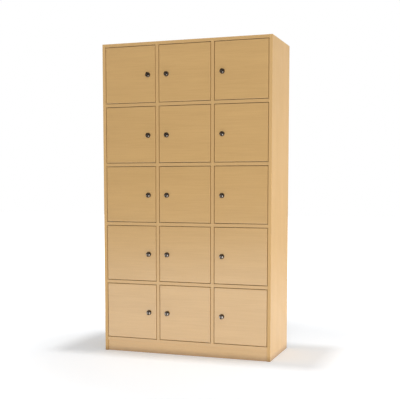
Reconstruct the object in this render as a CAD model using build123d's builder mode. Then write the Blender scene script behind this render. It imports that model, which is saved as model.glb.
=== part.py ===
from build123d import *
import os
from math import hypot

# Overall size of the cabinet and the boards of its carcass
cabinet_width = 1045.0
cabinet_height = 1850.0
cabinet_depth = 420.0
board = 19.0
back_board = 8.0
plinth_height = 66.0
plinth_recess = 5.0
board_edge_radius = 0.8

# Three columns of compartments, five rows, and the side on which each column's doors hang
columns = ("left", "middle", "right")
hinge_sides = ("left", "right", "right")
rows = 5

# Doors, flush with the front edges of the boards
door_board = 19.0
door_gap = 3.0
door_edge_radius = 2.0

# Concealed hinges: a cup in the door, a cranked arm and a plate on the board
hinge_inset = 62.0
cup_radius = 17.5
cup_depth = 14.0
cup_wall = 1.0
cup_tab = 5.0
cup_flange = 1.0
flange_rim = 1.0
flange_length = 62.0
flange_width = 15.0
flange_offset = 5.0
flange_screw_spacing = 48.0
pin_from_edge = 11.5
pin_radius = 1.5
pin_play = 0.05
eye_radius = 2.9
eye_clearance = 0.3
cheek_thickness = 2.4
arm_thickness = 2.5
arm_width = 12.0
arm_swing_gap = 0.7
arm_bend_radius = 2.5
plate_height = 5.75
plate_width = 13.0
plate_start = 36.0
plate_length = 38.0
plate_wing = 1.6
plate_wing_span = 48.0
plate_wing_width = 16.0
plate_screw_spacing = 32.0
plate_screw_from_front = 56.0
arm_screw_from_front = 66.0

# Turn lock: a fixed housing in the door, and a knob whose shaft carries a cam
lock_from_edge = 46.0
lock_below_middle = 4.0
housing_flange_radius = 15.0
housing_flange = 2.5
flange_edge_radius = 1.0
housing_radius = 10.0
lock_nut_across = 27.0
lock_nut = 4.0
shaft_radius = 6.5
shaft_play = 0.05
knob_radius = 13.5
knob_height = 19.1
knob_gap = 0.4
knob_edge_radius = 1.6
grip_thickness = 9.0
grip_depth = 10.0
plug_radius = 3.6
plug_proud = 0.6
plug_length = 5.0
key_slot_length = 4.6
key_slot_width = 1.1
key_slot_depth = 3.0
cam_reach = 38.0
cam_width = 16.0
cam_thickness = 2.5
cam_gap = 0.6
cam_square = 7.0
cam_screw_radius = 2.0
cam_screw_head_radius = 5.5
cam_screw_length = 10.0

# Angle keep on the board beside each lock, with a rubber buffer for the door
keep_reach = 20.0
keep_depth = 26.0
keep_height = 44.0
keep_thickness = 2.0
keep_behind_door = 2.0
keep_screw_spacing = 24.0
buffer_radius = 4.0
buffer_gap = 0.3
buffer_from_end = 8.0

# Fasteners that hold the boards and fittings
wood_screw_radius = 1.75
wood_screw_head_radius = 3.6
screw_head = 1.6
screw_recess_width = 0.9
screw_recess_depth = 0.8
board_middle_left = 3.0
cup_screw_length = 11.0
arm_screw_length = 5.0
back_screw_length = 25.0
back_screw_spacing = 200.0
dowel_radius = 4.0
dowel_length = 30.0
dowel_inset = 60.0

# Places worked out from the sizes above
knob_out = housing_flange + knob_gap + knob_height + plug_proud
front = -(cabinet_depth - knob_out) / 2
back = front + cabinet_depth
half_width = cabinet_width / 2
opening_width = (cabinet_width - 4 * board) / 3
opening_height = (cabinet_height - plinth_height - (rows + 1) * board) / rows
door_width = opening_width - 2 * door_gap
door_height = opening_height - 2 * door_gap
row_pitch = opening_height + board
pin_in = door_gap + pin_from_edge
pin_deep = door_board - cup_depth + cup_wall + eye_clearance + eye_radius
cup_in = door_gap + cup_tab + cup_radius
tab_corner = hypot(pin_from_edge, door_board - pin_deep)
arm_reach = tab_corner + arm_swing_gap + arm_thickness / 2
tail_in = plate_height + arm_thickness / 2
pin_half = arm_width / 2 + eye_clearance + cheek_thickness
cam_front = door_board + lock_nut + cam_gap
board_screw_length = (board - board_middle_left) / 2
dowel_in_face = board_screw_length
keep_screw_deep = door_board + keep_behind_door + (keep_depth + keep_thickness) / 2
inner_back = back - back_board
plinth_front = front + plinth_recess
side_left = -half_width + board
side_right = half_width - board
floor_top = plinth_height + board
ceiling = cabinet_height - board


def column_left(column):
    return -half_width + board + column * (opening_width + board)


def row_floor(row):
    return cabinet_height - (row + 1) * row_pitch


def hinge_heights(row):
    low = row_floor(row) + door_gap
    return (low + hinge_inset, low + door_height - hinge_inset)


def lock_height(row):
    return row_floor(row) + opening_height / 2 - lock_below_middle


class Side:
    """Plan positions in one column, measured in from the board that carries the hinges."""

    def __init__(self, column):
        self.inward = 1 if hinge_sides[column] == "left" else -1
        left = column_left(column)
        self.face = left if self.inward == 1 else left + opening_width

    def point(self, inside, depth):
        return (self.face + self.inward * inside, front + depth)

    def x(self, inside):
        return self.face + self.inward * inside

    def direction(self):
        return (self.inward, 0, 0)


sides = [Side(column) for column in range(3)]
lock_in = opening_width - door_gap - lock_from_edge


# A screw with a cross recess: its head stands on the XY plane and its shank runs down from it
def make_screw(length, radius=wood_screw_radius, head=wood_screw_head_radius):
    with BuildPart() as screw:
        with BuildSketch():
            Circle(head)
        extrude(amount=screw_head)
        with BuildSketch():
            Circle(radius)
        extrude(amount=-length)
        with BuildSketch(Plane.XY.offset(screw_head)):
            Rectangle(head, screw_recess_width)
            Rectangle(screw_recess_width, head)
        extrude(amount=-screw_recess_depth, mode=Mode.SUBTRACT)
    return screw.part.solids()[0]


# A round pin, dowel or buffer that stands on the XY plane
def make_pin(radius, length):
    with BuildPart() as pin:
        with BuildSketch():
            Circle(radius)
        extrude(amount=length)
    return pin.part.solids()[0]


# Copies of one piece, one on each plane
def copies(piece, planes):
    return [plane.location * piece for plane in planes]


# Copies of one row's pieces, lowered to another row
def lowered(pieces, row):
    return [piece.moved(Location((0, 0, -row * row_pitch))) for piece in pieces]


def write_group(pieces, name):
    group = pieces[0] if len(pieces) == 1 else Compound(pieces)
    group.label = name
    export_step(group, "parts/" + name + ".step")


# Planes that look out of the faces of the boards that carry the hinges and the keeps
def hinge_plane(side, inside, depth, height):
    x, y = side.point(inside, depth)
    return Plane(origin=(x, y, height), x_dir=(0, 1, 0), z_dir=side.direction())


def keep_plane(side, depth, height):
    x, y = side.point(opening_width, depth)
    return Plane(origin=(x, y, height), x_dir=(0, 1, 0), z_dir=(-side.inward, 0, 0))


def pair(middle, spacing):
    return (middle - spacing / 2, middle + spacing / 2)


def plate_screw_planes():
    heights = [height for row in range(rows) for height in hinge_heights(row)]
    return [
        hinge_plane(side, 0, plate_screw_from_front, spot)
        for side in sides
        for height in heights
        for spot in pair(height, plate_screw_spacing)
    ]


def keep_screw_planes():
    return [
        keep_plane(side, keep_screw_deep, spot)
        for side in sides
        for row in range(rows)
        for spot in pair(lock_height(row), keep_screw_spacing)
    ]


# Dowels lie across each joint: part in one board's face, the rest in the other's end
def dowels_between(left, right, depths, height):
    planes = []
    for y in depths:
        planes.append(Plane(origin=(left - dowel_in_face, y, height), z_dir=(1, 0, 0)))
        planes.append(Plane(origin=(right + dowel_in_face, y, height), z_dir=(-1, 0, 0)))
    return planes


def dowel_planes():
    planes = []
    depths = (front + dowel_inset, inner_back - dowel_inset)
    rail_depths = (plinth_front + board / 2, inner_back - board / 2)
    for column in range(3):
        left = column_left(column)
        for row in range(rows - 1):
            planes += dowels_between(left, left + opening_width, depths, row_floor(row) - board / 2)
    planes += dowels_between(side_left, side_right, depths, plinth_height + board / 2)
    planes += dowels_between(side_left, side_right, depths, cabinet_height - board / 2)
    planes += dowels_between(side_left, side_right, rail_depths, plinth_height / 2)
    for column in (1, 2):
        x = column_left(column) - board / 2
        for y in depths:
            planes.append(Plane(origin=(x, y, floor_top - dowel_in_face), z_dir=(0, 0, 1)))
            planes.append(Plane(origin=(x, y, ceiling + dowel_in_face), z_dir=(0, 0, -1)))
    return planes


# Screws through the back panel into the rear edges of top, bottom and shelves, heads sunk flush
def back_screw_planes():
    heights = [row_floor(row) - board / 2 for row in range(rows)] + [cabinet_height - board / 2]
    return [
        Plane(origin=(x, back - screw_head, height), z_dir=(0, 1, 0))
        for column in range(3)
        for height in heights
        for x in pair(column_left(column) + opening_width / 2, back_screw_spacing)
    ]


# Holes that the boards may need: planes, radius, length, and the end that lies on the plane
board_holes = [
    (dowel_planes(), dowel_radius, dowel_length, Align.MIN),
    (plate_screw_planes(), wood_screw_radius, board_screw_length, Align.MAX),
    (keep_screw_planes(), wood_screw_radius, board_screw_length, Align.MAX),
    (back_screw_planes(), wood_screw_radius, back_screw_length, Align.MAX),
    (back_screw_planes(), wood_screw_head_radius, screw_head, Align.MIN),
]


# A carcass board from its low to its high corner: long front edges eased, fasteners' holes cut
def make_board(low, high):
    width, depth, height = [high[i] - low[i] for i in range(3)]
    centre = ((high[0] + low[0]) / 2, (high[2] + low[2]) / 2)
    with BuildPart() as panel:
        with BuildSketch(Plane.XZ.offset(-low[1])):
            with Locations(centre):
                Rectangle(width, height)
        extrude(amount=-depth)
        front_edges = panel.faces().sort_by(Axis.Y)[0].edges()
        fillet(front_edges.filter_by(Axis.Z if height > width else Axis.X), board_edge_radius)
        for planes, radius, length, end in board_holes:
            close = [plane for plane in planes if is_near(plane.origin, low, high, length)]
            if close:
                with Locations(*close):
                    Cylinder(radius, length, align=(Align.CENTER, Align.CENTER, end), mode=Mode.SUBTRACT)
    return panel.part.solids()[0]


def is_near(spot, low, high, reach):
    return all(low[i] - reach < coordinate < high[i] + reach for i, coordinate in enumerate(spot))


# Carcass: two sides to the floor, top and bottom between them, two dividers and the shelves
boards = {
    "left_side_panel": [((-half_width, front, 0), (side_left, back, cabinet_height))],
    "right_side_panel": [((side_right, front, 0), (half_width, back, cabinet_height))],
    "top_panel": [((side_left, front, ceiling), (side_right, inner_back, cabinet_height))],
    "bottom_panel": [((side_left, front, plinth_height), (side_right, inner_back, floor_top))],
    "left_divider": [((column_left(1) - board, front, floor_top), (column_left(1), inner_back, ceiling))],
    "right_divider": [((column_left(2) - board, front, floor_top), (column_left(2), inner_back, ceiling))],
    "back_panel": [((side_left, inner_back, plinth_height), (side_right, back, cabinet_height))],
    "shelves": [
        (
            (column_left(column), front, row_floor(row) - board),
            (column_left(column) + opening_width, inner_back, row_floor(row)),
        )
        for column in range(3)
        for row in range(rows - 1)
    ],
    "plinth_rails": [
        ((side_left, plinth_front, 0), (side_right, plinth_front + board, plinth_height)),
        ((side_left, inner_back - board, 0), (side_right, inner_back, plinth_height)),
    ],
}


def door_back_plane(side, inside, height):
    x, y = side.point(inside, door_board)
    return Plane(origin=(x, y, height), x_dir=side.direction(), z_dir=(0, 1, 0))


def cup_screw_spots():
    return [(flange_offset, spot) for spot in pair(0, flange_screw_spacing)]


# Door: a plain board with eased front edges, two cup pockets, a lock hole and pilot holes
def make_door(side, row):
    x = side.x(door_gap + door_width / 2)
    z = row_floor(row) + opening_height / 2
    with BuildPart() as door:
        with BuildSketch(Plane.XZ.offset(-front)):
            with Locations((x, z)):
                Rectangle(door_width, door_height)
        extrude(amount=-door_board)
        fillet(door.faces().sort_by(Axis.Y)[0].edges(), door_edge_radius)
        with BuildSketch(Plane.XZ.offset(-front)):
            with Locations((side.x(lock_in), lock_height(row))):
                Circle(housing_radius)
        extrude(amount=-door_board, mode=Mode.SUBTRACT)
        for height in hinge_heights(row):
            with BuildSketch(door_back_plane(side, cup_in, height)):
                Circle(cup_radius)
            extrude(amount=-cup_depth, mode=Mode.SUBTRACT)
            with BuildSketch(door_back_plane(side, cup_in, height)):
                with Locations(*cup_screw_spots()):
                    Circle(wood_screw_radius)
            extrude(amount=-cup_screw_length, mode=Mode.SUBTRACT)
    return door.part.solids()[0]


# Hinge cup: a die-cast bowl with a flange on the door's back and two cheeks that hold the pin
def make_cup(side, height):
    plane = door_back_plane(side, cup_in, height)
    pin_x, pin_y = side.point(pin_in, pin_deep)
    cheek_end = pin_in - cup_in + eye_radius
    cheek_middle = (cheek_end - cup_radius) / 2
    cheek_lift = arm_width / 2 + eye_clearance + cheek_thickness / 2
    with BuildPart() as cup:
        with BuildSketch(plane):
            Circle(cup_radius)
        extrude(amount=-cup_depth)
        with BuildSketch(plane):
            Circle(cup_radius + flange_rim)
            with Locations((flange_offset, 0)):
                SlotOverall(flange_length, flange_width, rotation=90)
            with Locations(*cup_screw_spots()):
                Circle(wood_screw_radius, mode=Mode.SUBTRACT)
        extrude(amount=cup_flange)
        with BuildSketch(plane.offset(cup_flange)):
            Circle(cup_radius - cup_wall)
        extrude(amount=cup_wall - cup_depth - cup_flange, mode=Mode.SUBTRACT)
        with BuildSketch(plane.offset(cup_wall - cup_depth)):
            with Locations((cheek_middle, -cheek_lift), (cheek_middle, cheek_lift)):
                Rectangle(cheek_end + cup_radius, cheek_thickness)
            Circle(cup_radius - cup_wall / 2, mode=Mode.INTERSECT)
        extrude(amount=eye_clearance + 2 * eye_radius)
        with BuildSketch(Plane.XY.offset(height - pin_half)):
            with Locations((pin_x, pin_y)):
                Circle(pin_radius)
        extrude(amount=2 * pin_half, mode=Mode.SUBTRACT)
    return cup.part.solids()[0]


# Hinge arm: a steel strap rolled into an eye, cranked round the door's edge to the plate
def make_arm(side, height):
    eye = side.point(pin_in, pin_deep)
    route = [
        side.point(pin_in + (pin_radius + eye_radius) / 2, pin_deep),
        side.point(pin_in + arm_reach, pin_deep),
        side.point(pin_in + arm_reach, pin_deep + arm_reach),
        side.point(tail_in, pin_deep + arm_reach),
        side.point(tail_in, plate_start + plate_length),
    ]
    tail_plane = hinge_plane(side, plate_height + arm_thickness, arm_screw_from_front, height)
    with BuildPart() as arm:
        with BuildLine(Plane.XY.offset(height)) as path:
            FilletPolyline(*route, radius=arm_bend_radius)
        with BuildSketch(Plane(origin=path.line @ 0, x_dir=(0, 0, 1), z_dir=path.line % 0)):
            Rectangle(arm_width, arm_thickness)
        sweep(path=path.line)
        with BuildSketch(Plane.XY.offset(height - arm_width / 2)):
            with Locations(eye):
                Circle(eye_radius)
        extrude(amount=arm_width)
        with BuildSketch(Plane.XY.offset(height - arm_width / 2)):
            with Locations(eye):
                Circle(pin_radius + pin_play)
        extrude(amount=arm_width, mode=Mode.SUBTRACT)
        with BuildSketch(tail_plane):
            Circle(wood_screw_radius)
        extrude(amount=-arm_thickness, mode=Mode.SUBTRACT)
    return arm.part.solids()[0]


# Hinge plate: a raised block for the arm, with two wings screwed to the board
def make_plate(side, height):
    plane = hinge_plane(side, 0, plate_screw_from_front, height)
    block_middle = plate_start + plate_length / 2 - plate_screw_from_front
    with BuildPart() as plate:
        with BuildSketch(plane):
            SlotOverall(plate_wing_span, plate_wing_width, rotation=90)
        extrude(amount=plate_wing)
        with BuildSketch(plane):
            with Locations((block_middle, 0)):
                Rectangle(plate_length, plate_width)
        extrude(amount=plate_height)
        with BuildSketch(plane):
            with Locations(*[(0, spot) for spot in pair(0, plate_screw_spacing)]):
                Circle(wood_screw_radius)
        extrude(amount=plate_wing, mode=Mode.SUBTRACT)
        with BuildSketch(plane.offset(plate_height)):
            with Locations((arm_screw_from_front - plate_screw_from_front, 0)):
                Circle(wood_screw_radius)
        extrude(amount=arm_thickness - arm_screw_length, mode=Mode.SUBTRACT)
    return plate.part.solids()[0]


# Lock housing: a flanged sleeve through the door, and the nut that clamps it from behind
def lock_plane(side, row, depth):
    x, y = side.point(lock_in, depth)
    return Plane(origin=(x, y, lock_height(row)), x_dir=(1, 0, 0), z_dir=(0, -1, 0))


def make_housing(side, row):
    plane = lock_plane(side, row, 0)
    with BuildPart() as housing:
        with BuildSketch(plane):
            Circle(housing_flange_radius)
        extrude(amount=housing_flange)
        fillet(housing.faces().sort_by(Axis.Y)[0].edges(), flange_edge_radius)
        with BuildSketch(plane):
            Circle(housing_radius)
        extrude(amount=-door_board - lock_nut)
        with BuildSketch(plane.offset(housing_flange)):
            Circle(shaft_radius + shaft_play)
        extrude(amount=-housing_flange - door_board - lock_nut, mode=Mode.SUBTRACT)
    return housing.part.solids()[0]


def make_lock_nut(side, row):
    with BuildPart() as nut:
        with BuildSketch(lock_plane(side, row, door_board)):
            RegularPolygon(lock_nut_across / 2, 6, major_radius=False)
            Circle(housing_radius, mode=Mode.SUBTRACT)
        extrude(amount=-lock_nut)
    return nut.part.solids()[0]


# Knob and shaft in one piece, with a bar to grip and a square end for the cam
def make_knob(side, row):
    plane = lock_plane(side, row, -housing_flange - knob_gap)
    with BuildPart() as knob:
        with BuildSketch(plane):
            Circle(knob_radius)
        extrude(amount=knob_height)
        fillet(knob.faces().sort_by(Axis.Y)[0].edges(), knob_edge_radius)
        with BuildSketch(plane.offset(knob_height)):
            Circle(2 * knob_radius)
            Rectangle(grip_thickness, 4 * knob_radius, mode=Mode.SUBTRACT)
        extrude(amount=-grip_depth, mode=Mode.SUBTRACT)
        with BuildSketch(plane):
            Circle(shaft_radius)
        extrude(amount=-housing_flange - knob_gap - cam_front)
        with BuildSketch(lock_plane(side, row, cam_front)):
            Rectangle(cam_square, cam_square)
        extrude(amount=-cam_thickness)
        with BuildSketch(plane.offset(knob_height)):
            Circle(plug_radius)
        extrude(amount=-plug_length, mode=Mode.SUBTRACT)
        with BuildSketch(lock_plane(side, row, cam_front + cam_thickness)):
            Circle(cam_screw_radius)
        extrude(amount=cam_screw_length, mode=Mode.SUBTRACT)
    return knob.part.solids()[0]


# Key plug: a small round of nickel silver with a slot for the key
def make_plug(side, row):
    plane = lock_plane(side, row, -housing_flange - knob_gap - knob_height)
    with BuildPart() as plug:
        with BuildSketch(plane.offset(-plug_length)):
            Circle(plug_radius)
        extrude(amount=plug_length + plug_proud)
        with BuildSketch(plane.offset(plug_proud)):
            Rectangle(key_slot_width, key_slot_length)
        extrude(amount=-key_slot_depth, mode=Mode.SUBTRACT)
    return plug.part.solids()[0]


# Cam: a flat steel finger that hangs down when the lock is open
def make_cam(side, row):
    centres = cam_reach - cam_width / 2
    with BuildPart() as cam:
        with BuildSketch(lock_plane(side, row, cam_front)):
            with Locations((0, -centres / 2)):
                SlotCenterToCenter(centres, cam_width, rotation=90)
            Rectangle(cam_square, cam_square, mode=Mode.SUBTRACT)
        extrude(amount=-cam_thickness)
    return cam.part.solids()[0]


# Keep: a bent steel angle that the cam turns behind, screwed to the board next to the lock
def make_keep(side, row):
    near_door = door_board + keep_behind_door
    outline = [
        side.point(opening_width, near_door),
        side.point(opening_width - keep_reach, near_door),
        side.point(opening_width - keep_reach, near_door + keep_thickness),
        side.point(opening_width - keep_thickness, near_door + keep_thickness),
        side.point(opening_width - keep_thickness, near_door + keep_depth),
        side.point(opening_width, near_door + keep_depth),
    ]
    with BuildPart() as keep:
        with BuildSketch(Plane.XY.offset(lock_height(row) - keep_height / 2)):
            with BuildLine():
                Polyline(*outline, close=True)
            make_face()
        extrude(amount=keep_height)
        for height in pair(lock_height(row), keep_screw_spacing):
            with BuildSketch(keep_plane(side, keep_screw_deep, height)):
                Circle(wood_screw_radius)
            extrude(amount=keep_thickness, mode=Mode.SUBTRACT)
    return keep.part.solids()[0]


def make_buffers(side, row):
    x, y = side.point(opening_width - keep_reach / 2, door_board + keep_behind_door)
    buffer = make_pin(buffer_radius, keep_behind_door - buffer_gap)
    heights = pair(lock_height(row), keep_height - 2 * buffer_from_end)
    return copies(buffer, [Plane(origin=(x, y, height), z_dir=(0, -1, 0)) for height in heights])


# What stays fixed in a door: lock housing and nut, hinge cups, their pins and their screws
def make_fittings(side, row):
    pieces = [make_housing(side, row), make_lock_nut(side, row)]
    pin_x, pin_y = side.point(pin_in, pin_deep)
    pin = make_pin(pin_radius, 2 * pin_half)
    screw = make_screw(cup_screw_length + cup_flange)
    for height in hinge_heights(row):
        pieces.append(make_cup(side, height))
        pieces += copies(pin, [Plane((pin_x, pin_y, height - pin_half))])
        x, y = side.point(cup_in + flange_offset, door_board + cup_flange)
        heights = pair(height, flange_screw_spacing)
        pieces += copies(screw, [Plane(origin=(x, y, spot), z_dir=(0, 1, 0)) for spot in heights])
    return pieces


# What turns in a door: knob with shaft, key plug, cam and the screw that holds the cam
def make_lock(side, row):
    x, y = side.point(lock_in, cam_front + cam_thickness)
    screw = make_screw(cam_screw_length, cam_screw_radius, cam_screw_head_radius)
    screw_plane = Plane(origin=(x, y, lock_height(row)), x_dir=(1, 0, 0), z_dir=(0, 1, 0))
    return [make_knob(side, row), make_plug(side, row), make_cam(side, row)] + copies(screw, [screw_plane])


os.makedirs("parts", exist_ok=True)

for name, boxes in boards.items():
    write_group([make_board(low, high) for low, high in boxes], name)

# Every row of a column holds the same pieces, so each is made for the top row and copied down
arms, plates, keeps, buffers, arm_screw_planes = [], [], [], [], []
for column, side in zip(columns, sides):
    door = make_door(side, 0)
    fittings = make_fittings(side, 0)
    lock = make_lock(side, 0)
    column_arms = [make_arm(side, height) for height in hinge_heights(0)]
    column_plates = [make_plate(side, height) for height in hinge_heights(0)]
    keep = make_keep(side, 0)
    column_buffers = make_buffers(side, 0)
    for row in range(rows):
        place = "_row" + str(row + 1) + "_" + column
        write_group(lowered([door], row), "door" + place)
        write_group(lowered(fittings, row), "fittings" + place)
        write_group(lowered(lock, row), "lock" + place)
        arms += lowered(column_arms, row)
        plates += lowered(column_plates, row)
        keeps += lowered([keep], row)
        buffers += lowered(column_buffers, row)
        for height in hinge_heights(row):
            tail_top = plate_height + arm_thickness
            arm_screw_planes.append(hinge_plane(side, tail_top, arm_screw_from_front, height))

screws = copies(make_screw(arm_screw_length), arm_screw_planes)
plate_screw = make_screw(plate_wing + board_screw_length)
screws += copies(plate_screw, [plane.offset(plate_wing) for plane in plate_screw_planes()])
keep_screw = make_screw(keep_thickness + board_screw_length)
screws += copies(keep_screw, [plane.offset(keep_thickness) for plane in keep_screw_planes()])
screws += copies(make_screw(back_screw_length), back_screw_planes())

write_group(arms, "hinge_arms")
write_group(plates, "hinge_plates")
write_group(keeps, "lock_keeps")
write_group(buffers, "door_buffers")
write_group(copies(make_pin(dowel_radius, dowel_length), dowel_planes()), "dowels")
write_group(screws, "fixing_screws")
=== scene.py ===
import bpy
import bmesh
from math import asin, cos, pi, radians, sin, sqrt
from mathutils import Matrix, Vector


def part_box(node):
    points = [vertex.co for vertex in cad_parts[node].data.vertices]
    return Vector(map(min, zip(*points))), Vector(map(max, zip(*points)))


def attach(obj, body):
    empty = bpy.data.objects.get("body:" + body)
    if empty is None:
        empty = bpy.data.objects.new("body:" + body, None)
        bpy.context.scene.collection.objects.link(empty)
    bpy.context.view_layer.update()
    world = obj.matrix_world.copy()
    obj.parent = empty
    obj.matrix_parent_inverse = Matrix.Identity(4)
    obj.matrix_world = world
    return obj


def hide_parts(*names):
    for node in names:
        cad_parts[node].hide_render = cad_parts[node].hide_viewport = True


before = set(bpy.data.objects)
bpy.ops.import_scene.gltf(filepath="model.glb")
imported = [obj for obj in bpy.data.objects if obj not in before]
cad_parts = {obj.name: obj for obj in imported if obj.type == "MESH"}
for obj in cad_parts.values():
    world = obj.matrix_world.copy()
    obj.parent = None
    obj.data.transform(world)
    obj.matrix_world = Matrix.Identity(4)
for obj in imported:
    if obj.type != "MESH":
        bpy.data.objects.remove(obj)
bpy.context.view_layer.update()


# The studio: a white floor in a white room, and a camera at chest height to the right of the cabinet.
# The room shows white to the camera, while gloss picks up a bright floor under a dim front wall.
# The soft lamps stand in front and at the right, and a small one hangs above for the floor shadow.
scene = bpy.context.scene
scene.view_settings.view_transform = "Standard"

camera_data = bpy.data.cameras.new("camera")
camera_data.sensor_width = 36.0
camera_data.lens = 71.54
camera_data.shift_y = 0.1353
camera_data.clip_end = 60.0
camera = bpy.data.objects.new("camera", camera_data)
camera.location = (1.6209, -4.5806, 1.0170)
camera.rotation_euler = (radians(90 - 5.003), 0, radians(19.1955))
scene.collection.objects.link(camera)
scene.camera = camera


def put(tree, socket, value):
    if isinstance(value, (int, float, tuple)):
        socket.default_value = value
    else:
        tree.links.new(value, socket)


def add_node(tree, kind, **inputs):
    node = tree.nodes.new("ShaderNode" + kind)
    for title, value in inputs.items():
        put(tree, node.inputs[title.replace("_", " ")], value)
    return node


def calculate(tree, operation, first, second=0.0):
    node = add_node(tree, "Math")
    node.operation = operation
    put(tree, node.inputs[0], first)
    put(tree, node.inputs[1], second)
    return node.outputs[0]


def smooth_range(tree, value, low, high, to_low, to_high):
    node = add_node(tree, "MapRange", Value=value, From_Min=low, From_Max=high)
    put(tree, node.inputs["To Min"], to_low)
    put(tree, node.inputs["To Max"], to_high)
    node.interpolation_type = "SMOOTHSTEP"
    return node.outputs["Result"]


def start_material(name):
    material = bpy.data.materials.new(name)
    material.use_nodes = True
    material.node_tree.nodes.clear()
    return material, material.node_tree


def finish_material(tree, shader):
    add_node(tree, "OutputMaterial", Surface=shader.outputs[0])


floor_reach = 20.0
floor_middle = (0.3, -0.1, 0)
floor_corners = [(x * floor_reach, y * floor_reach, 0) for x, y in ((-1, -1), (1, -1), (1, 1), (-1, 1))]
floor_mesh = bpy.data.meshes.new("studio_floor")
floor_mesh.from_pydata(floor_corners, [], [(0, 1, 2, 3)])
floor = bpy.data.objects.new("studio_floor", floor_mesh)
scene.collection.objects.link(floor)

floor_material, tree = start_material("white_floor")
paint = add_node(tree, "BsdfDiffuse", Color=(0.84, 0.86, 0.885, 1))
place = add_node(tree, "TexCoord")
away = add_node(tree, "VectorMath")
away.operation = "DISTANCE"
put(tree, away.inputs[0], place.outputs["Object"])
put(tree, away.inputs[1], floor_middle)
path = add_node(tree, "LightPath")
white_to_camera = smooth_range(tree, away.outputs["Value"], 0.9, 2.6, 0.25, 1.0)
bright_in_gloss = smooth_range(tree, away.outputs["Value"], 2.6, 9.0, 0.85, 0.0)
camera_glow = calculate(tree, "MULTIPLY", path.outputs["Is Camera Ray"], white_to_camera)
gloss_glow = calculate(tree, "MULTIPLY", path.outputs["Is Glossy Ray"], bright_in_gloss)
glow = add_node(tree, "Emission", Strength=calculate(tree, "ADD", camera_glow, gloss_glow))
painted = add_node(tree, "AddShader")
put(tree, painted.inputs[0], paint.outputs[0])
put(tree, painted.inputs[1], glow.outputs[0])
finish_material(tree, painted)
floor_material.cycles.emission_sampling = "NONE"
floor.data.materials.append(floor_material)

world = bpy.data.worlds.new("white_room")
scene.world = world
world.cycles.sampling_method = "NONE"
world.use_nodes = True
tree = world.node_tree
tree.nodes.clear()
path = add_node(tree, "LightPath")
direction = add_node(tree, "SeparateXYZ", Vector=add_node(tree, "TexCoord").outputs["Generated"])
back_wall = smooth_range(tree, direction.outputs["Y"], 0.0, 0.7, 0.05, 0.7)
ceiling = smooth_range(tree, direction.outputs["Z"], 0.5, 0.9, 0.05, 0.8)
ambient = smooth_range(tree, direction.outputs["X"], 0.1, 1.0, 0.38, 0.55)
shown = calculate(tree, "MAXIMUM", path.outputs["Is Camera Ray"], path.outputs["Is Transmission Ray"])
bright_walls = calculate(tree, "MAXIMUM", back_wall, ceiling)
gloss = calculate(tree, "MULTIPLY", path.outputs["Is Glossy Ray"], bright_walls)
not_gloss = calculate(tree, "SUBTRACT", 1.0, path.outputs["Is Glossy Ray"])
lit = calculate(tree, "ADD", gloss, calculate(tree, "MULTIPLY", not_gloss, ambient))
room = add_node(tree, "Background", Color=(1, 1, 1, 1), Strength=calculate(tree, "MAXIMUM", shown, lit))
add_node(tree, "OutputWorld", Surface=room.outputs[0])


def hang_lamp(name, location, target, size, watts):
    lamp = bpy.data.lights.new(name, "AREA")
    lamp.shape = "SQUARE"
    lamp.size = size
    lamp.energy = watts
    lamp_object = bpy.data.objects.new(name, lamp)
    lamp_object.location = location
    lamp_object.rotation_euler = (Vector(target) - Vector(location)).to_track_quat("-Z", "Y").to_euler()
    lamp_object.visible_glossy = False
    scene.collection.objects.link(lamp_object)


hang_lamp("overhead_lamp", (0, 0, 5.0), (0, 0, 0), size=0.25, watts=72)
hang_lamp("front_softbox", (2.2, -8.9, 1.9), (0, 0, 0.9), size=2.6, watts=398)
hang_lamp("right_softbox", (3.6, 0.2, 0.6), (0.5, 0, 0.75), size=1.0, watts=58)


# The two side panels are faced chipboard, and the cabinet stands on them. Both faces have a satin
# beech decor with upright grain. The front cut is edged to match, and the back cut is left bare.
def start_group(name, inputs, outputs):
    group = bpy.data.node_groups.new(name, "ShaderNodeTree")
    for title, kind in inputs:
        group.interface.new_socket(title, in_out="INPUT", socket_type="NodeSocket" + kind)
    for title, kind in outputs:
        group.interface.new_socket(title, in_out="OUTPUT", socket_type="NodeSocket" + kind)
    return group, group.nodes.new("NodeGroupInput").outputs, group.nodes.new("NodeGroupOutput").inputs


def use_group(tree, group, **inputs):
    node = tree.nodes.new("ShaderNodeGroup")
    node.node_tree = group
    for title, value in inputs.items():
        put(tree, node.inputs[title], value)
    return node.outputs


def noise(tree, vector, scale, detail, roughness):
    stretched = add_node(tree, "Mapping", Vector=vector, Scale=scale)
    texture = add_node(tree, "TexNoise", Vector=stretched.outputs[0], Scale=1.0, Detail=detail)
    texture.inputs["Roughness"].default_value = roughness
    return texture.outputs["Fac"]


def mix_colour(tree, factor, first, second, blend_type="MIX"):
    node = add_node(tree, "Mix")
    node.data_type = "RGBA"
    node.blend_type = blend_type
    put(tree, node.inputs["Factor"], factor)
    colours = [socket for socket in node.inputs if socket.type == "RGBA"]
    put(tree, colours[0], first)
    put(tree, colours[1], second)
    return [socket for socket in node.outputs if socket.type == "RGBA"][0]


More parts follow.
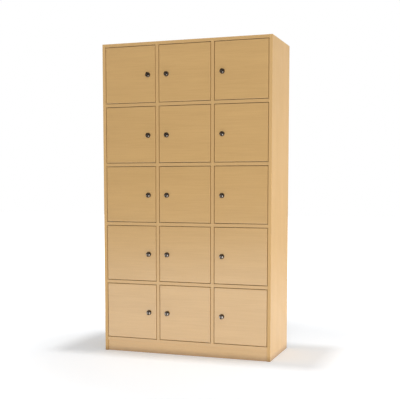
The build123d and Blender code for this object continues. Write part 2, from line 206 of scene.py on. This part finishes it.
# Beech decor, with the grain along the first axis: soft bands, fine streaks and short dark flecks,
# and a gloss that is duller along the streaks and in large smudges
beech_decor, given, made = start_group(
    "beech_decor",
    [("Vector", "Vector"), ("Light", "Color"), ("Dark", "Color")],
    [("Color", "Color"), ("Height", "Float"), ("Gloss", "Float")],
)
bands = noise(beech_decor, given["Vector"], (1.2, 14, 14), 3.0, 0.5)
streaks = noise(beech_decor, given["Vector"], (5, 160, 160), 3.0, 0.55)
flecks = noise(beech_decor, given["Vector"], (170, 1700, 1700), 1.0, 0.4)
smudges = noise(beech_decor, given["Vector"], (9, 9, 9), 2.0, 0.5)
depth_of_tone = 0.0
patterns = ((bands, 0.3, 0.7, 0.28), (streaks, 0.3, 0.7, 0.34), (flecks, 0.62, 0.72, 0.6))
for pattern, low, high, share in patterns:
    tone = smooth_range(beech_decor, pattern, low, high, 0.0, share)
    depth_of_tone = calculate(beech_decor, "ADD", depth_of_tone, tone)
put(beech_decor, made["Color"], mix_colour(beech_decor, depth_of_tone, given["Light"], given["Dark"]))
put(beech_decor, made["Height"], calculate(beech_decor, "MULTIPLY", depth_of_tone, -1.0))
streak_gloss = smooth_range(beech_decor, streaks, 0.2, 0.8, 0.0, 0.6)
smudge_gloss = smooth_range(beech_decor, smudges, 0.3, 0.7, 0.0, 0.4)
put(beech_decor, made["Gloss"], calculate(beech_decor, "ADD", streak_gloss, smudge_gloss))

# A carcass board's long edges: plain edging on the front, and chips and pores on the bare back cut.
# The front and back planes are the side panels' own, so the other boards' hidden rear cuts stay plain.
carcass_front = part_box("left_side_panel")[0][1]
carcass_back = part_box("left_side_panel")[1][1]
edging_thickness = 0.0009
cut_depth = 0.0004
edging_colour = (0.615, 0.385, 0.16, 1)
pale_chip = (0.46, 0.33, 0.20, 1)
brown_chip = (0.27, 0.18, 0.10, 1)
pore_colour = (0.16, 0.10, 0.055, 1)
board_edges, given, made = start_group(
    "board_edges", [("Vector", "Vector"), ("Color", "Color")], [("Color", "Color")]
)
depth = add_node(board_edges, "SeparateXYZ", Vector=given["Vector"]).outputs["Y"]
at_front = calculate(board_edges, "LESS_THAN", depth, carcass_front + edging_thickness)
at_back = calculate(board_edges, "GREATER_THAN", depth, carcass_back - cut_depth)
chips = add_node(board_edges, "TexVoronoi", Vector=given["Vector"], Scale=420.0)
chip_tone = add_node(board_edges, "SeparateColor", Color=chips.outputs["Color"]).outputs[0]
chip_colour = mix_colour(board_edges, chip_tone, pale_chip, brown_chip)
pitting = noise(board_edges, given["Vector"], (500, 500, 500), 3.0, 0.6)
pores = smooth_range(board_edges, pitting, 0.58, 0.7, 0.0, 1.0)
cut_colour = mix_colour(board_edges, pores, chip_colour, pore_colour)
with_edging = mix_colour(board_edges, at_front, given["Color"], edging_colour)
put(board_edges, made["Color"], mix_colour(board_edges, at_back, with_edging, cut_colour))

# Boards that stand on the floor get painted contact shade: their colour is darkened along the foot, with a
# ragged top edge
contact_shade_tone = (0.56, 0.51, 0.48, 1)
foot_contact_shade, given, made = start_group(
    "foot_contact_shade", [("Vector", "Vector"), ("Color", "Color")], [("Color", "Color")]
)
above_floor = add_node(foot_contact_shade, "SeparateXYZ", Vector=given["Vector"]).outputs["Z"]
shade_ripples = noise(foot_contact_shade, given["Vector"], (30, 30, 90), 3.0, 0.6)
raggedness = calculate(foot_contact_shade, "MULTIPLY", shade_ripples, 0.016)
ragged_height = calculate(foot_contact_shade, "ADD", above_floor, raggedness)
unshaded = smooth_range(foot_contact_shade, ragged_height, 0.004, 0.048, 0.0, 1.0)
# The painted shade multiplies the colour by a darker tone near the floor
shaded_colour = mix_colour(foot_contact_shade, 1.0, given["Color"], contact_shade_tone, "MULTIPLY")
put(foot_contact_shade, made["Color"], mix_colour(foot_contact_shade, unshaded, shaded_colour, given["Color"]))


def edged(tree, place, colour):
    return use_group(tree, board_edges, Vector=place.outputs["Object"], Color=colour)["Color"]


def shaded_foot(tree, place, colour):
    return use_group(tree, foot_contact_shade, Vector=place.outputs["Object"], Color=colour)["Color"]


along_x = (0, 0, 0)
along_z = (0, radians(90), 0)
beech_light = (0.648, 0.405, 0.166, 1)
beech_dark = (0.553, 0.34, 0.134, 1)
grain_depth = 0.0002
dull_resin = {"index": 1.5, "specular": 0.42}
glossy_lacquer = {"index": 1.8, "specular": 0.5}


def board_material(name, grain, roughness, index, specular, covers=(), light=beech_light, dark=beech_dark):
    material, tree = start_material(name)
    place = add_node(tree, "TexCoord")
    turned = add_node(tree, "Mapping", Vector=place.outputs["Object"], Rotation=grain)
    decor = use_group(tree, beech_decor, Vector=turned.outputs[0], Light=light, Dark=dark)
    colour = decor["Color"]
    for cover in covers:
        colour = cover(tree, place, colour)
    relief = add_node(tree, "Bump", Strength=0.06, Distance=grain_depth, Height=decor["Height"])
    satin = add_node(tree, "MapRange", Value=decor["Gloss"])
    put(tree, satin.inputs["To Min"], roughness - 0.03)
    put(tree, satin.inputs["To Max"], roughness + 0.05)
    shader = add_node(
        tree, "BsdfPrincipled", Base_Color=colour, Roughness=satin.outputs["Result"], IOR=index,
        Specular_IOR_Level=specular, Normal=relief.outputs["Normal"],
    )
    finish_material(tree, shader)
    return material


def dress(material, *nodes):
    for node in nodes:
        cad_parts[node].data.materials.clear()
        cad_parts[node].data.materials.append(material)


# The side panels' foot is painted darker near the floor as contact shade
side_board = board_material("side_board", along_z, 0.42, covers=(edged, shaded_foot), **dull_resin)
dress(side_board, "left_side_panel", "right_side_panel")


# The two dividers part the columns. They are the same board with a glossier lacquer on the decor,
# doweled upright between the top and bottom panels.
upright_board = board_material("upright_board", along_z, 0.22, covers=(edged,), **glossy_lacquer)
dress(upright_board, "left_divider", "right_divider")


# The top and bottom panels and the twelve shelves lie between the uprights on dowels. Their grain
# runs from side to side, and their front edges show between the doors.
level_board = board_material("level_board", along_x, 0.22, covers=(edged,), **glossy_lacquer)
dress(level_board, "top_panel", "bottom_panel", "shelves")


# Two plinth rails close the foot of the cabinet at the front and back. They are strips of the same
# board, set back a little between the side panels, and their lower edge is painted darker as contact
# shade.
plinth_board = board_material("plinth_board", along_x, 0.22, covers=(shaded_foot,), **glossy_lacquer)
dress(plinth_board, "plinth_rails")


# The back panel is a decor board between the side panels, screwed to the rear edges of the top,
# bottom and shelves. Its paper is duller and browner than on the boards that show.
back_light = (0.58, 0.38, 0.18, 1)
back_dark = (0.5, 0.32, 0.14, 1)
back_board = board_material("back_board", along_z, 0.6, light=back_light, dark=back_dark, **dull_resin)
dress(back_board, "back_panel")


# The dowels are plain beech pegs, glued part into one board and part into the next, so none shows.
# They are raw wood, paler and rougher than the decor.
peg_light = (0.6, 0.42, 0.22, 1)
peg_dark = (0.5, 0.33, 0.15, 1)
dowel_wood = board_material("dowel_wood", along_x, 0.7, light=peg_light, dark=peg_dark, **dull_resin)
dress(dowel_wood, "dowels")


# The fixing screws and the angle keeps that the locks turn behind are steel with a dull zinc plate.
# The screws hold the back panel, the hinge plates and the keeps.
scratch_depth = 0.0001
cloud_shade = 0.82
metal_surface, given, made = start_group(
    "metal_surface", [("Vector", "Vector")], [("Rough", "Float"), ("Height", "Float")]
)
brushing = noise(metal_surface, given["Vector"], (900, 900, 90), 3.0, 0.6)
clouding = noise(metal_surface, given["Vector"], (70, 70, 70), 2.0, 0.5)
fine_share = calculate(metal_surface, "MULTIPLY", brushing, 0.6)
cloud_share = calculate(metal_surface, "MULTIPLY", clouding, 0.4)
put(metal_surface, made["Rough"], calculate(metal_surface, "ADD", fine_share, cloud_share))
put(metal_surface, made["Height"], brushing)


def metal_material(name, colour, smoothest, roughest, relief, metallic=1.0, coat=0.0):
    material, tree = start_material(name)
    surface = use_group(tree, metal_surface, Vector=add_node(tree, "TexCoord").outputs["Object"])
    darker = tuple(cloud_shade * part for part in colour)
    tone = mix_colour(tree, surface["Rough"], (*colour, 1), (*darker, 1))
    rough = add_node(tree, "MapRange", Value=surface["Rough"], From_Min=0.3, From_Max=0.7)
    put(tree, rough.inputs["To Min"], smoothest)
    put(tree, rough.inputs["To Max"], roughest)
    bump = add_node(tree, "Bump", Strength=relief, Distance=scratch_depth, Height=surface["Height"])
    shader = add_node(
        tree, "BsdfPrincipled", Base_Color=tone, Metallic=metallic, Roughness=rough.outputs["Result"],
        Coat_Weight=coat, Coat_Roughness=0.2, Normal=bump.outputs["Normal"],
    )
    finish_material(tree, shader)
    return material


zinc = metal_material("zinc_plate", (0.60, 0.61, 0.62), smoothest=0.3, roughest=0.48, relief=0.15)
dress(zinc, "fixing_screws", "lock_keeps")


# The hinge arms are steel straps, cranked round the doors' edges, with a bright nickel plate. Each
# is screwed to a raised mounting plate, which two screws hold to a side panel or divider.
nickel = metal_material("nickel_plate", (0.72, 0.69, 0.64), smoothest=0.18, roughest=0.34, relief=0.1)
dress(nickel, "hinge_arms", "hinge_plates")


# Two small round buffers stand on each keep and take the knock of the closing door.
# They are moulded from dark rubber and stuck to the steel.
rubber = metal_material(
    "buffer_rubber", (0.03, 0.03, 0.032), smoothest=0.65, roughest=0.85, relief=0.3, metallic=0.0
)
dress(rubber, "door_buffers")


# Fifteen doors lie flush in the openings. Each is the same board with the grain across it, a smooth
# lacquer that mirrors the floor a little, and a lighter edging strip on all four edges.
strip_colour = (0.74, 0.455, 0.17, 1)
front_facing_limit = 0.3


def edged_all_round(tree, place, colour):
    facing = add_node(tree, "SeparateXYZ", Vector=place.outputs["Normal"]).outputs["Y"]
    on_edge = calculate(tree, "LESS_THAN", calculate(tree, "ABSOLUTE", facing), front_facing_limit)
    return mix_colour(tree, on_edge, colour, strip_colour)


door_board = board_material(
    "door_board", along_x, 0.16, index=1.9, specular=0.5, covers=(edged_all_round,)
)
places = ["_row%d_%s" % (row, column) for column in ("left", "middle", "right") for row in range(1, 6)]
dress(door_board, *["door" + place_name for place_name in places])


# Each door carries two nickel hinge cups with their pins and screws, and the dark lacquered housing
# of its lock, clamped from behind with a zinc nut. The solids' own faces are taken over, and each
# is sorted by where it lies.
def face_patches(node):
    mesh = bmesh.new()
    mesh.from_mesh(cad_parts[node].data)
    seen, patches = set(), []
    for start in mesh.verts:
        if start in seen:
            continue
        stack, patch = [start], []
        seen.add(start)
        while stack:
            vertex = stack.pop()
            patch.append(vertex)
            for other in (edge.other_vert(vertex) for edge in vertex.link_edges):
                if other not in seen:
                    seen.add(other)
                    stack.append(other)
        patches.append(patch)
    return mesh, patches


sharpest_smooth_turn = radians(35)


def finished_piece(name, mesh, material):
    data = bpy.data.meshes.new(name)
    mesh.to_mesh(data)
    mesh.free()
    data.materials.append(material)
    piece = bpy.data.objects.new(name, data)
    scene.collection.objects.link(piece)
    data.shade_smooth()
    data.set_sharp_from_angle(angle=sharpest_smooth_turn)
    return piece


def piece_from_patches(name, patches, material):
    mesh = bmesh.new()
    for patch in patches:
        copied = {vertex: mesh.verts.new(vertex.co) for vertex in patch}
        for face in dict.fromkeys(face for vertex in patch for face in vertex.link_faces):
            mesh.faces.new([copied[vertex] for vertex in face.verts])
    bmesh.ops.remove_doubles(mesh, verts=mesh.verts, dist=1e-7)
    return finished_piece(name, mesh, material)


def front_of(patch):
    return min(vertex.co.y for vertex in patch)


def reach_from(patch, axis_x, axis_z):
    return max(sqrt((vertex.co.x - axis_x) ** 2 + (vertex.co.z - axis_z) ** 2) for vertex in patch)


def set_on(piece, body, node):
    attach(piece, body)
    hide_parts(node)


bronze_lacquer = metal_material(
    "dark_bronze_lacquer", (0.045, 0.026, 0.012), smoothest=0.26, roughest=0.38, relief=0.1, metallic=0.35,
    coat=0.5,
)
knob_radius = 0.0135
housing_radius = 0.010
housing_clearance = 0.0005
lock_reach = 0.019
nut_thickness = 0.004
touching = 0.0001
lock_axes = {}
for place_name in places:
    mesh, patches = face_patches("fittings" + place_name)
    lock_low, lock_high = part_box("lock" + place_name)
    axis_x, axis_z = (lock_low[0] + lock_high[0]) / 2, lock_high[2] - knob_radius
    near_lock = [patch for patch in patches if reach_from(patch, axis_x, axis_z) < lock_reach]
    hinge_parts = [patch for patch in patches if reach_from(patch, axis_x, axis_z) >= lock_reach]
    door_back = max(vertex.co.y for patch in near_lock for vertex in patch) - nut_thickness
    housing, nut = [], []
    for patch in near_lock:
        outside = reach_from(patch, axis_x, axis_z) > housing_radius + housing_clearance
        is_nut = outside and front_of(patch) > door_back - touching
        (nut if is_nut else housing).append(patch)
    lock_axes[place_name] = (axis_x, axis_z, min(front_of(patch) for patch in housing))
    parts = [
        ("hinge_cups", hinge_parts, nickel),
        ("lock_housing", housing, bronze_lacquer),
        ("lock_nut", nut, zinc),
    ]
    for title, part, metal in parts:
        piece = piece_from_patches(title + place_name, part, metal)
        set_on(piece, "swing" + place_name, "fittings" + place_name)
    mesh.free()


# The turning lock is worked by a dark lacquered knob with a ribbed rim, a nickel face and a bar to
# grip, which holds the key plug. Its zinc-plated shaft carries the cam and cam screw behind the door,
# whose own faces are taken over.
knob_height = 0.0191
knob_gap = 0.0004
grip_thickness = 0.009
grip_depth = 0.010
grip_end_inset = 0.0002
disc_front = grip_depth - knob_height
rib_count = 40
rib_depth = 0.00035
dish_radius = 0.0035
dish_depth = 0.0004
face_plate_radius = 0.0106
plate_hole_radius = 0.003
round_steps = 32
plug_radius = 0.0036
plug_sunk = 0.003
plug_proud = 0.0006
key_slot_half_width = 0.00055
key_slot_half_length = 0.0023
key_slot_depth = 0.0022
shaft_radius = 0.0065
cam_and_screw_head = 0.0041


def ring(radius, y, count, ripple=0.0):
    turns = [2 * pi * step / count for step in range(count)]
    radii = [radius - ripple * (step % 2) for step in range(count)]
    return [(local * cos(turn), y, local * sin(turn)) for local, turn in zip(radii, turns)]


def lofted(rings):
    count = len(rings[0])
    last = (len(rings) - 1) * count
    faces = [tuple(reversed(range(count))), tuple(range(last, last + count))]
    for low in range(0, last, count):
        for step in range(count):
            following = (step + 1) % count
            faces.append((low + step, low + following, low + count + following, low + count + step))
    return [point for points in rings for point in points], faces


# The rim is rounded off at the back and front, each corner an inset from the rim and a lift from
# its face. Only the two full-width rings carry the ribs, and the face between is slightly dished.
def knob_disc():
    back_corner = [(0.0012, 0.0), (0.0003, 0.0008), (0.0, 0.0016)]
    front_corner = [(0.0, 0.0018), (0.0005, 0.0007), (0.0016, 0.0), (0.0032, 0.0002)]
    profile = [(shaft_radius, 0.0)]
    profile += [(knob_radius - inset, -lift) for inset, lift in back_corner]
    profile += [(knob_radius - inset, disc_front + lift) for inset, lift in front_corner]
    profile.append((dish_radius, disc_front + dish_depth))
    rings = []
    for radius, y in profile:
        ribs = rib_depth if radius == knob_radius else 0.0
        rings.append(ring(radius, y, 2 * rib_count, ribs))
    return lofted(rings)


# The face plate sits in the dish, with a small chamfer round its edge
def face_plate():
    chamfer = 0.0003
    profile = [
        (face_plate_radius, dish_depth), (face_plate_radius, -0.0001),
        (face_plate_radius - chamfer, -chamfer), (plate_hole_radius, -chamfer),
    ]
    return lofted([ring(radius, disc_front + lift, 2 * round_steps) for radius, lift in profile])


# The bar's outline is a strip cut by the knob's circle, so its short ends are arcs
def grip_outline(half, radius, steps=10):
    reach = asin(half / radius)
    turns = [pi / 2 - reach + 2 * reach * step / steps for step in range(steps + 1)]
    top = [(radius * cos(turn), radius * sin(turn)) for turn in turns]
    return top + [(-x, -z) for x, z in top]


def grip_bar():
    rounding = [(0.0, 0.0014), (0.0003, 0.0006), (0.0010, 0.0001), (0.0018, 0.0)]
    levels = [(0.0, disc_front + dish_depth)] + [(inset, lift - knob_height) for inset, lift in rounding]
    rings = []
    for inset, y in levels:
        outline = grip_outline(grip_thickness / 2 - inset, knob_radius - grip_end_inset - inset)
        rings.append([(x, y, z) for x, z in outline])
    return lofted(rings)


# The plug's face runs in from a chamfered rim to a slot, whose outline is a circle squared off
def key_plug():
    chamfer = 0.0003
    face_y = -(knob_height + plug_proud)
    rings = [
        ring(plug_radius, plug_sunk - knob_height, round_steps),
        ring(plug_radius, face_y + chamfer, round_steps),
        ring(plug_radius - chamfer, face_y, round_steps),
    ]
    for y in (face_y, face_y + key_slot_depth):
        squared = []
        for x, _, z in ring(1.0, 0.0, round_steps):
            across = max(-1.0, min(1.0, 4 * x)) * key_slot_half_width
            along = max(-1.0, min(1.0, 1.3 * z)) * key_slot_half_length
            squared.append((across, y, along))
        rings.append(squared)
    return lofted(rings)


def built_piece(name, shapes, origin, material):
    mesh = bmesh.new()
    for vertices, faces in shapes:
        placed = [mesh.verts.new([a + b for a, b in zip(point, origin)]) for point in vertices]
        for face in faces:
            mesh.faces.new([placed[index] for index in face])
    bmesh.ops.recalc_face_normals(mesh, faces=mesh.faces)
    return finished_piece(name, mesh, material)


face_nickel = metal_material(
    "dark_nickel_plate", (0.62, 0.56, 0.50), smoothest=0.12, roughest=0.2, relief=0.05
)
plug_nickel = metal_material("plug_nickel", (0.22, 0.20, 0.175), smoothest=0.34, roughest=0.5, relief=0.1)
for place_name in places:
    axis_x, axis_z, housing_front = lock_axes[place_name]
    origin = (axis_x, housing_front - knob_gap, axis_z)
    mesh, patches = face_patches("lock" + place_name)
    cam_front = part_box("lock" + place_name)[1][1] - cam_and_screw_head
    behind_door = [patch for patch in patches if front_of(patch) > cam_front - touching]
    shaft = lofted([ring(shaft_radius, y, round_steps) for y in (0.0, cam_front - origin[1])])
    pieces = [
        built_piece("lock_knob" + place_name, [knob_disc(), grip_bar()], origin, bronze_lacquer),
        built_piece("knob_face" + place_name, [face_plate()], origin, face_nickel),
        built_piece("lock_shaft" + place_name, [shaft], origin, zinc),
        built_piece("key_plug" + place_name, [key_plug()], origin, plug_nickel),
        piece_from_patches("lock_cam" + place_name, behind_door, zinc),
    ]
    for piece in pieces:
        set_on(piece, "turn" + place_name, "lock" + place_name)
    mesh.free()
